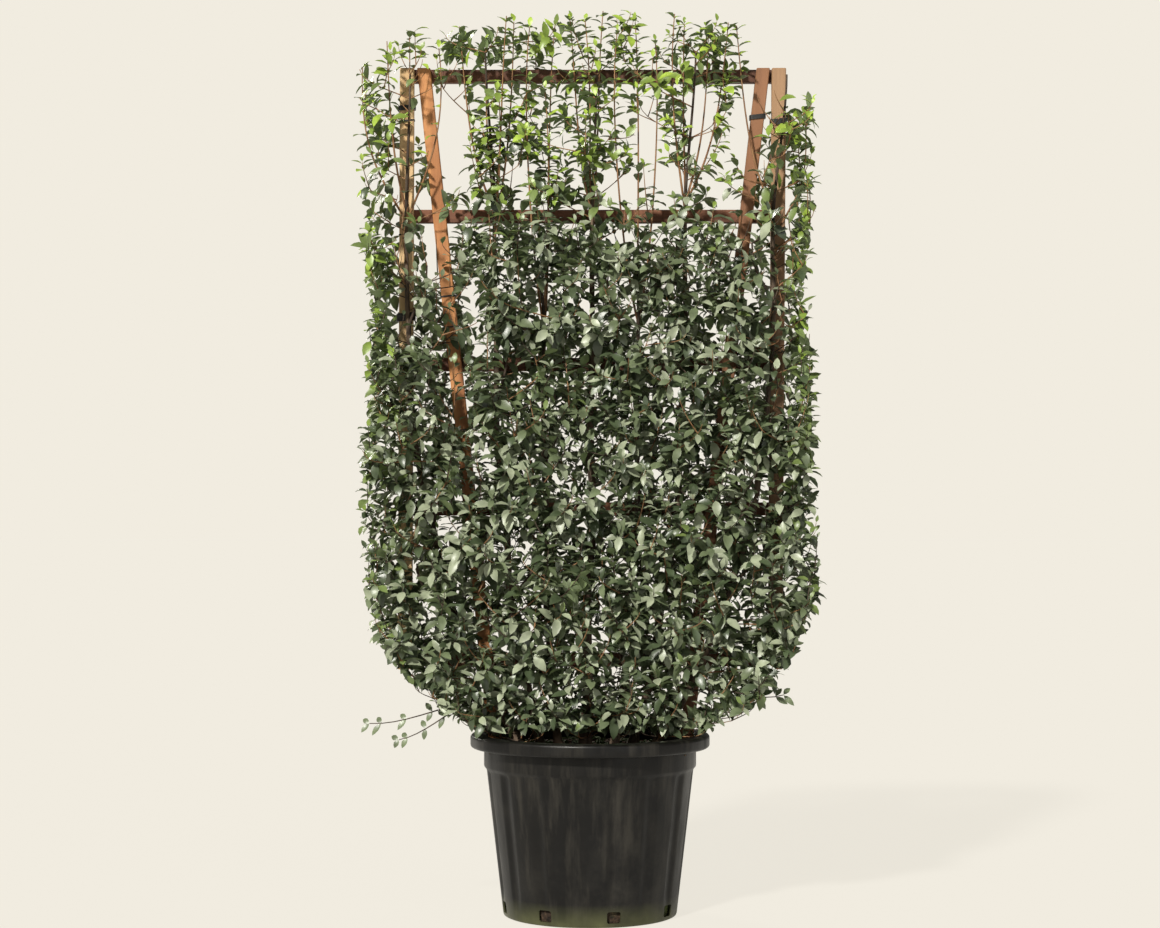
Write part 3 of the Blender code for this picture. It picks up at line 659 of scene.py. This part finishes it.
class Crown:
    """Twigs and leaves grown on from the stems in the cells of the solids' masses.

    The side shoots are dealt out by chance, where the solids space them by the golden angle.
    """

    def __init__(self):
        self.chance = random.Random(CROWN_SEED)
        self.hard = hard_parts()
        self.old, self.young = Tubes(), Tubes()
        self.leaves = {kind: Leaves() for kind in LEAF_COLOURS_WITH_PAINTED_LIGHT}
        self.masses = [
            (height == MASS_ROWS[-1][0], Vector((x, height - STAGGER * (-1) ** k)), STEMS[stem])
            for height, masses in MASS_ROWS
            for k, (x, stem) in enumerate(masses)
        ]
        for number in range(len(self.masses)):
            self.grow_mass(number)
        for leader in LEADERS:
            self.grow_leader(*leader)
        for straggler in STRAGGLERS:
            self.grow_straggler(*straggler)

    def crosses(self, line):
        """Whether a line runs into a lath or the pot."""
        for one, other in zip(line, line[1:]):
            way = other - one
            if self.hard.ray_cast(one, way.normalized(), way.length)[0] is not None:
                return True
        return False

    def in_cell(self, number, target):
        """Whether a point is in the crown, not in an opening, and nearest to its own mass."""
        if not in_crown(target) or in_sky(target):
            return False
        place = Vector((target.x, target.z))
        near = min(range(len(self.masses)), key=lambda k: (self.masses[k][1] - place).length)
        return near == number

    def grow_mass(self, number):
        """A mass's rising axis, and its shoots out to places dealt over its cell."""
        chance = self.chance
        top, middle, stem = self.masses[number]
        share = (middle.y - FORK_BELOW - SOIL_TOP) / (stem[4] - SOIL_TOP)
        share = TOP_FORK if top else min(1.0, max(LOWEST_FORK, share))
        start, _ = stem_place(stem, share)
        crest_x = middle.x + chance.uniform(-0.02, 0.02)
        crest = Vector((crest_x, TIED_Y - 0.03, middle.y + (0.13 if top else 0.07)))
        first, second = start + Vector((0, -0.02, 0.06)), crest - Vector((0, 0, 0.08))
        axis = bezier(start, first, second, crest, AXIS_POINTS)
        self.old.add(axis, tapered(0.0038, 0.0018, AXIS_POINTS), AXIS_SIDES)
        parents = list(axis)
        for k in range(STEM_SPOTS):
            spot_share = share + (k - STEM_SPOTS // 2) * STEM_SPOT_STEP
            parents.append(stem_place(stem, min(1.0, spot_share))[0])
        wanted = SHOOTS_TOP if top else SHOOTS_DENSE
        made = tries = 0
        while made < wanted and tries < wanted * TRIES_PER_SHOOT:
            tries += 1
            deep = chance.triangular(0.0, 1.0, USUAL_DEPTH)
            z = middle.y + chance.uniform(*(TOP_CELL_HEIGHTS if top else CELL_HEIGHTS))
            x = middle.x + chance.uniform(-CELL_HALF_WIDTH, CELL_HALF_WIDTH)
            front, back = along(DEPTH_LINE, z, 1), along(DEPTH_LINE, z, 2)
            line = self.shoot_line(number, Vector((x, front + (back - front) * deep, z)), parents)
            if line is None:
                continue
            made += 1
            thick = SHOOT_RADIUS + SHOOT_RADIUS_PER_METRE * (line[-1] - line[0]).length
            radii = [thick * (1 - SHOOT_TAPER * k / (SHOOT_POINTS - 1)) for k in range(SHOOT_POINTS)]
            (self.young if chance.random() < YOUNG_SHARE or top else self.old).add(line, radii)
            parents += line[2:-2]
            self.leafy_shoot(line)

    def shoot_line(self, number, target, parents):
        """A shoot's curve from the best parent below its target, or None where it doesn't fit."""
        if not self.in_cell(number, target):
            return None
        below = [place for place in parents if place.z < target.z - SHOOT_RISE]
        if not below:
            return None
        parent = min(below, key=lambda p: (p - target).length + abs(p.z - target.z + SHOOT_DROP) * 0.5)
        gap = target - parent
        if not SHOOT_LENGTHS[0] <= gap.length <= SHOOT_LENGTHS[1]:
            return None
        lean = gap.normalized()
        first = parent + Vector((lean.x * 0.9, lean.y * 0.9, abs(lean.z) * 0.5 + 0.1)) * gap.length * 0.38
        second = target - Vector((lean.x * 0.25, lean.y * 0.25, 0.85)) * gap.length * 0.30
        line = bezier(parent, first, second, target, SHOOT_POINTS)
        return None if self.crosses(line) else line

    def grow_leader(self, x, z, low):
        """A long upright shoot from the nearest stem to its own tip, leafy most of its length."""
        stem = min(STEMS, key=lambda item: abs(stem_place(item, 0.97)[0].x - x))
        start, _ = stem_place(stem, min(TOP_FORK, (low - SOIL_TOP) / (stem[4] - SOIL_TOP)))
        depth = self.chance.uniform(*LEADER_DEPTHS)
        end = Vector((x, depth, z))
        first = start + Vector(((x - start.x) * 0.7, depth - start.y, 0.10))
        second = end - Vector((self.chance.uniform(-0.02, 0.02), 0, 0.16))
        line = bezier(start, first, second, end, LEADER_POINTS)
        if self.crosses(line):
            line = [place + Vector((0, -0.02 * eased(k / 5), 0)) for k, place in enumerate(line)]
        self.young.add(line, tapered(0.0026, 0.0016, LEADER_POINTS))
        self.leafy_shoot(line, LEADER_LEAFY)

    def grow_straggler(self, x, z, tip_x, tip_z):
        """A thin, nearly bare twig low down, with a few small leaves at its end."""
        chance = self.chance
        start, end = Vector((x, -0.04, z)), Vector((tip_x, -0.07, tip_z))
        first = start.lerp(end, 0.35) + Vector((0, 0, 0.03))
        second = start.lerp(end, 0.7) - Vector((0, 0, 0.02))
        line = bezier(start, first, second, end, STRAGGLER_POINTS)
        self.old.add(line, tapered(0.0020, 0.0011, STRAGGLER_POINTS))
        upper = Vector((0, -0.9, 0.4))
        for k in STRAGGLER_PAIRS:
            way = (line[k] - line[k - 1]).normalized()
            for sign in (-1, 1):
                across = Vector((chance.uniform(-0.3, 0.4), 0.4 * sign, sign * chance.uniform(0.5, 1.1)))
                out, long = way * 0.6 + across * 0.7, chance.uniform(0.018, 0.032)
                self.leaves["deep"].add(line[k], out, upper, long, 0.012, 0.6, 0.25, 0.2 * sign)

    def leafy_shoot(self, line, share=None):
        """Opposite pairs of leaves along the outer part of a shoot, each pair turned on from the last."""
        chance = self.chance
        lengths = [0.0]
        for one, other in zip(line, line[1:]):
            lengths.append(lengths[-1] + (other - one).length)
        whole = lengths[-1]
        leafy = whole * share if share else min(whole * 0.86, chance.uniform(*LEAFY_LENGTH))
        spacing = LEADER_SPACING if share else 1
        at = whole - leafy
        turn = chance.uniform(0, math.pi)
        size = chance.uniform(0.88, 1.08)
        while at <= whole:
            tip_share = 1 - (whole - at) / leafy
            k = max(i for i in range(len(line) - 1) if lengths[i] <= at + 1e-9)
            part = (at - lengths[k]) / max(1e-9, lengths[k + 1] - lengths[k])
            spot = line[k].lerp(line[k + 1], min(1.0, part))
            way = (line[k + 1] - line[k]).normalized()
            across = Matrix.Rotation(turn, 3, way) @ way.orthogonal().normalized()
            for sign in (-1, 1):
                self.add_leaf(spot, way, across * sign, tip_share, size)
            turn += math.pi / 2 + chance.uniform(-0.25, 0.25)
            at += PAIR_SPACING * chance.uniform(0.8, 1.25) * (1 - 0.35 * tip_share) * spacing
        way = (line[-1] - line[-2]).normalized()
        self.add_leaf(line[-1], way, Vector((0, 0, 0.2)), 1.0, size * 0.8)

    def add_leaf(self, spot, way, across, tip_share, size):
        """One leaf, if it stands in the crown, clear of the openings and of the wood."""
        chance = self.chance
        low, high = LEAF_LONG
        long = (low + (high - low) * chance.random()) * size * (1 - 0.35 * tip_share ** 3)
        rise = 0.25 + 0.55 * tip_share + chance.uniform(-0.2, 0.2)
        out = across + way * rise - Vector((0, 0, chance.uniform(0.0, 0.35)))
        out = (out + Vector([chance.uniform(-0.18, 0.18) for _ in range(3)])).normalized()
        tip = spot + out * long - Vector((0, 0, long * 0.25))
        middle = spot.lerp(tip, 0.6)
        if not in_crown(middle) or in_sky(middle) or hides_lath(chance, middle):
            return
        if tip.z > along(TOP_LINE, tip.x, 1) + 0.006 or self.crosses((spot, tip)):
            return
        upper = way * 0.7 + Vector((0, -0.35 if spot.y < 0.02 else 0.25, 0.75))
        if abs(upper.normalized().dot(out)) > 0.97:
            upper = Vector((0, -1, 0.3))
        wide = long * chance.uniform(*LEAF_SLIM)
        kind = kind_of(chance, middle, tip_share)
        arch, fold = chance.uniform(0.35, 1.15), chance.uniform(0.10, 0.42)
        self.leaves[kind].add(spot, out, upper, long, wide, arch, fold, chance.uniform(-0.35, 0.35))


def dress_plant():
    crown = Crown()
    masses = [name for name in nodes if name.startswith("foliage")]
    old_bark = bark_material("old_twig_bark", (0.020, 0.013, 0.009), (0.085, 0.060, 0.042))
    young_bark = bark_material("young_twig_bark", (0.110, 0.045, 0.018), (0.300, 0.165, 0.075), 0.55)
    under = leaf_material("leaf_under", (0.150, 0.200, 0.085), 0.62)
    pieces = [
        (crown.old.build("twigs_old", old_bark), "bark"),
        (crown.young.build("twigs_young", young_bark), "bark"),
    ]
    for kind, (colour, roughness) in LEAF_COLOURS_WITH_PAINTED_LIGHT.items():
        finish = leaf_material("leaf_" + kind, colour, roughness)
        for number, part in enumerate(crown.leaves[kind].parts()):
            pieces.append((part.build(f"leaves_{kind}_{number}", [finish, under]), "leaves"))
    for piece, slot in pieces:
        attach(piece, BODY)
        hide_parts(*masses)


def dress_stems():
    """Stems with the relief of their bark, on the lines of the solids."""
    bark = bark_material("stem_bark", (0.030, 0.020, 0.014), (0.150, 0.105, 0.070))
    chance = random.Random(BARK_SEED)
    for stem in STEMS:
        points = []
        phase = chance.uniform(0, 6.28)
        for k in range(BARK_RINGS):
            share = k / (BARK_RINGS - 1)
            place, radius = stem_place(stem, share)
            place.z += BARK_LIFT
            knot = 1 + KNOT_SIZE * math.exp(-(((k % KNOT_EVERY) - KNOT_EVERY // 2) / 2.2) ** 2)
            for s in range(BARK_SIDES):
                turn = 2 * math.pi * s / BARK_SIDES
                ridge = 1 + RIDGE_SIZE * math.sin(3 * turn + phase + 9 * share)
                ridge = ridge + ROUGHNESS_SIZE * chance.uniform(-1, 1)
                size = min(radius * knot * ridge, radius * BARK_LIMIT)
                points.append(place + Vector((math.cos(turn), math.sin(turn), 0)) * size)
        faces = tube_faces(0, BARK_RINGS, BARK_SIDES)
        piece = new_object("bark_" + stem[0], points, faces, [bark], sharp_deg=80)
        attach(piece, BODY)
        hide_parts(stem[0])


def body_radius(height):
    return BASE_RADIUS + (SHOULDER_RADIUS - BASE_RADIUS) * height / SHOULDER_HEIGHT


def lip_arc(middle_height, start_deg, end_deg):
    made = []
    for turn in np.linspace(start_deg, end_deg, LIP_STEPS):
        out, up = LIP_SOFT * math.cos(math.radians(turn)), LIP_SOFT * math.sin(math.radians(turn))
        made.append((LIP_RADIUS - LIP_SOFT + out, middle_height + up, 0.0))
    return made


def wall_rows(heights, inset):
    """Points up the grooved wall; the grooves fade out at the foot."""
    return [(body_radius(z) - inset, z, eased((z - GROOVE_START) / GROOVE_FADE)) for z in heights]


def pot_profile():
    """Radius, height and share of the groove, from the inside floor over the lip to the underside."""
    inner = COLLAR_RADIUS - POT_WALL
    step = SHOULDER_HEIGHT + COLLAR_STEP
    under_lip = POT_HEIGHT - LIP_HEIGHT
    return [
        (body_radius(FLOOR_THICKNESS) - POT_WALL, FLOOR_THICKNESS, 0.0),
        *wall_rows(INNER_HEIGHTS, POT_WALL),
        (SHOULDER_RADIUS - POT_WALL, SHOULDER_HEIGHT, 0.4),
        (inner, step, 0.0),
        (inner, POT_HEIGHT - 0.003, 0.0),
        (inner + 0.003, POT_HEIGHT, 0.0),
        *lip_arc(POT_HEIGHT - LIP_SOFT, 90, 0),
        *lip_arc(under_lip + LIP_SOFT, 0, -90),
        (COLLAR_RADIUS + 0.002, under_lip, 0.0),
        (COLLAR_RADIUS, under_lip - 0.002, 0.0),
        (COLLAR_RADIUS, step + 0.003, 0.0),
        (COLLAR_RADIUS - 0.001, step, 0.0),
        (SHOULDER_RADIUS + 0.001, SHOULDER_HEIGHT + 0.002, 0.0),
        (SHOULDER_RADIUS, SHOULDER_HEIGHT - 0.001, 0.5),
        *wall_rows(OUTER_HEIGHTS, 0),
        (BASE_RADIUS - 0.0008, 0.0012, 0.0),
        (BASE_RADIUS - BASE_CHAMFER, 0.0, 0.0),
    ]


def slot_cutter(number):
    """A block with rounded corners across the wall, where a drain slot is cut."""
    angle = math.radians(FIRST_SLOT_DEG - 90 + number * 360 / SLOTS)
    height = (SLOT_FOOT + SLOT_TOP) / 2
    shape = bmesh.new()
    size = (SLOT_REACH, SLOT_WIDTH, SLOT_TOP - SLOT_FOOT)
    bmesh.ops.create_cube(shape, size=1, matrix=Matrix.Diagonal((*size, 1)))
    across = [e for e in shape.edges if abs(e.verts[0].co.x - e.verts[1].co.x) > SLOT_REACH / 2]
    bmesh.ops.bevel(shape, geom=across, offset=SLOT_CORNER, segments=3, affect="EDGES")
    mesh = bpy.data.meshes.new("slot")
    shape.to_mesh(mesh)
    shape.free()
    mesh.transform(Matrix.Rotation(angle, 4, "Z"))
    mesh.transform(Matrix.Translation(round_place(body_radius(height) - POT_WALL / 2, angle, height)))
    cutter = bpy.data.objects.new("slot", mesh)
    bpy.context.scene.collection.objects.link(cutter)
    return cutter


def pot_shell():
    """The turned wall, pressed in along its grooves."""
    rows = pot_profile()
    points, faces = [], []
    period = 360 / GROOVES
    for radius, height, share in rows:
        for c in range(POT_COLUMNS):
            turn = 360 * c / POT_COLUMNS
            off = abs((turn - FIRST_GROOVE_DEG + period / 2) % period - period / 2)
            groove = max(0.0, math.cos(min(1.0, off / GROOVE_HALF_DEG) * math.pi / 2)) ** 1.5
            size = radius - GROOVE_DEPTH * share * groove
            points.append(round_place(size, math.radians(turn - 90), height))
    for k in range(len(rows) - 1):
        for c in range(POT_COLUMNS):
            a, b = k * POT_COLUMNS + c, k * POT_COLUMNS + (c + 1) % POT_COLUMNS
            faces.append((a, a + POT_COLUMNS, b + POT_COLUMNS, b))
    faces.append(tuple(range(POT_COLUMNS)))
    faces.append(tuple((len(rows) - 1) * POT_COLUMNS + c for c in reversed(range(POT_COLUMNS))))
    return new_object("pot_shell", points, faces, [pot_material()], smooth=False)


def dress_pot():
    pot = pot_shell()
    cutters = [slot_cutter(number) for number in range(SLOTS)]
    for cutter in cutters:
        boolean = pot.modifiers.new("slot", "BOOLEAN")
        boolean.operation = "DIFFERENCE"
        boolean.object = cutter
    graph = bpy.context.evaluated_depsgraph_get()
    mesh = bpy.data.meshes.new_from_object(pot.evaluated_get(graph))
    pot.modifiers.clear()
    pot.data = mesh
    for cutter in cutters:
        bpy.data.objects.remove(cutter, do_unlink=True)
    pot.data.shade_smooth()
    pot.data.set_sharp_from_angle(angle=math.radians(38))
    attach(pot, BODY)
    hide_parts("pot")


def give_material(node, finish):
    node.data.materials.clear()
    node.data.materials.append(finish)


def dress_soil():
    """Soil with bark chips, moss and fallen leaves on it."""
    give_material(nodes["soil"], soil_material())
    chance = random.Random(LITTER_SEED)
    points, faces, indices = [], [], []
    finishes = [
        bark_material("chip_brown", (0.030, 0.017, 0.010), (0.130, 0.075, 0.040)),
        bark_material("chip_pale", (0.120, 0.085, 0.050), (0.330, 0.250, 0.160)),
        leaf_material("fallen_leaf", (0.150, 0.075, 0.025), 0.6),
        leaf_material("moss", (0.050, 0.080, 0.018), 0.9),
    ]
    sides = len(LITTER_RING)
    for _ in range(LITTER_COUNT):
        radius = LITTER_REACH * math.sqrt(chance.random())
        angle = chance.uniform(0, 2 * math.pi)
        top = SOIL_TOP - SOIL_MOUND * max(0.0, (radius - MOUND_RADIUS) / MOUND_FALL)
        kind = chance.choices(range(len(LITTER_SIZES)), LITTER_SHARES)[0]
        long, wide, thick = LITTER_SIZES[kind]
        grow_by = chance.uniform(0.6, 1.4)
        spin = Matrix.Rotation(chance.uniform(0, 6.28), 3, "Z")
        turn = spin @ Matrix.Rotation(chance.uniform(-0.4, 0.4), 3, "X")
        base = len(points)
        middle = round_place(radius, angle, top + thick * 0.3)
        for lift in (-0.5, 0.5):
            for x, y in LITTER_RING:
                level = lift * thick * chance.uniform(0.7, 1.2)
                points.append(middle + turn @ (Vector((x * long / 2, y * wide / 2, level)) * grow_by))
        added = tube_faces(base, 2, sides)
        faces += added
        indices += [kind] * len(added)
    litter = new_object("soil_litter", points, faces, finishes, indices, smooth=False)
    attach(litter, BODY)


def dress_frame():
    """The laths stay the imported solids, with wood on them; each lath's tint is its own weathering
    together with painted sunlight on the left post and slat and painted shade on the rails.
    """
    finishes = {lath: wood_material("wood_" + lath, *wood_and_light_look) for lath, wood_and_light_look in LATH_WOOD_AND_PAINTED_LIGHT_COLOURS.items()}
    for name, node in nodes.items():
        lath = "rail" if name.startswith("rail") else name
        if lath in finishes:
            give_material(node, finishes[lath])


def lath_middle(lath, height):
    """Where the middle of a slanting lath is at a height, from its two ends."""
    corners = [vertex.co for vertex in nodes[lath].data.vertices]
    low, high = min(v.z for v in corners), max(v.z for v in corners)
    ends = [[v.x for v in corners if abs(v.z - z) < 0.004] for z in (low, high)]
    foot, top = (sum(end) / len(end) for end in ends)
    return foot + (top - foot) * ((height - low) / (high - low))


def dress_ties():
    """Black rubber and wire ties that hold the shoots to the laths."""
    points, faces = [], []
    for lath, height, band, proud in TIES:
        middle = lath_middle(lath, height)
        base = len(points)
        for level in (-band / 2, band / 2):
            for k in range(TIE_CORNERS):
                turn = 2 * math.pi * k / TIE_CORNERS
                c, s = math.cos(turn), math.sin(turn)
                x = math.copysign(abs(c) ** TIE_SQUARENESS, c) * (TIE_HALF_X + proud)
                y = math.copysign(abs(s) ** TIE_SQUARENESS, s) * (TIE_HALF_Y + proud)
                points.append((middle + x, y, height + level + TIE_TILT * x))
        faces += tube_faces(base, 2, TIE_CORNERS)
    ties = new_object("ties", points, faces, [tie_material()], sharp_deg=50)
    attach(ties, BODY)


def set_floor():
    bpy.ops.mesh.primitive_circle_add(vertices=96, radius=FLOOR_RADIUS, fill_type="NGON",
                                      location=(0, 0, -FLOOR_DROP))
    floor = bpy.context.active_object
    floor.name = "floor"
    finish, _, shader = material("pale_floor", 0.95, 0.0)
    shader.inputs["Base Color"].default_value = (*(c * FLOOR_PAINT_SHARE for c in FLOOR_PAINT), 1)
    shader.inputs["Emission Color"].default_value = (*CREAM, 1)
    shader.inputs["Emission Strength"].default_value = FLOOR_GLOW
    floor.data.materials.append(finish)


def set_world():
    """A cream backdrop that lights the object less brightly than it shows."""
    world = bpy.data.worlds.new("studio")
    bpy.context.scene.world = world
    world.use_nodes = True
    tree = world.node_tree
    shown = tree.nodes["Background"]
    shown.inputs["Color"].default_value = (*CREAM, 1)
    dim = tree.nodes.new("ShaderNodeBackground")
    dim.inputs["Color"].default_value = (*CREAM, 1)
    dim.inputs["Strength"].default_value = ROOM_LIGHT
    path = tree.nodes.new("ShaderNodeLightPath")
    mix = tree.nodes.new("ShaderNodeMixShader")
    tree.links.new(path.outputs["Is Camera Ray"], mix.inputs["Fac"])
    tree.links.new(dim.outputs[0], mix.inputs[1])
    tree.links.new(shown.outputs[0], mix.inputs[2])
    tree.links.new(mix.outputs[0], tree.nodes["World Output"].inputs["Surface"])


def set_lamps():
    for name, way, strength, spread_deg, colour in LAMPS:
        lamp = bpy.data.lights.new(name, "SUN")
        lamp.energy = strength
        lamp.angle = math.radians(spread_deg)
        lamp.color = colour
        made = bpy.data.objects.new(name, lamp)
        made.rotation_euler = Vector(way).to_track_quat("-Z", "Y").to_euler()
        bpy.context.scene.collection.objects.link(made)


def set_camera():
    lens = bpy.data.cameras.new("camera")
    lens.lens = FOCAL_MM
    lens.sensor_width = SENSOR_MM
    lens.clip_end = VIEW_LIMIT
    camera = bpy.data.objects.new("camera", lens)
    camera.location = CAMERA_AT
    camera.rotation_euler = (math.radians(90 + CAMERA_TILT_DEG), 0, 0)
    bpy.context.scene.collection.objects.link(camera)
    bpy.context.scene.camera = camera
    bpy.context.scene.view_settings.view_transform = "Standard"


set_floor()
set_world()
set_lamps()
set_camera()
dress_frame()
dress_pot()
dress_soil()
dress_stems()
dress_plant()
dress_ties()
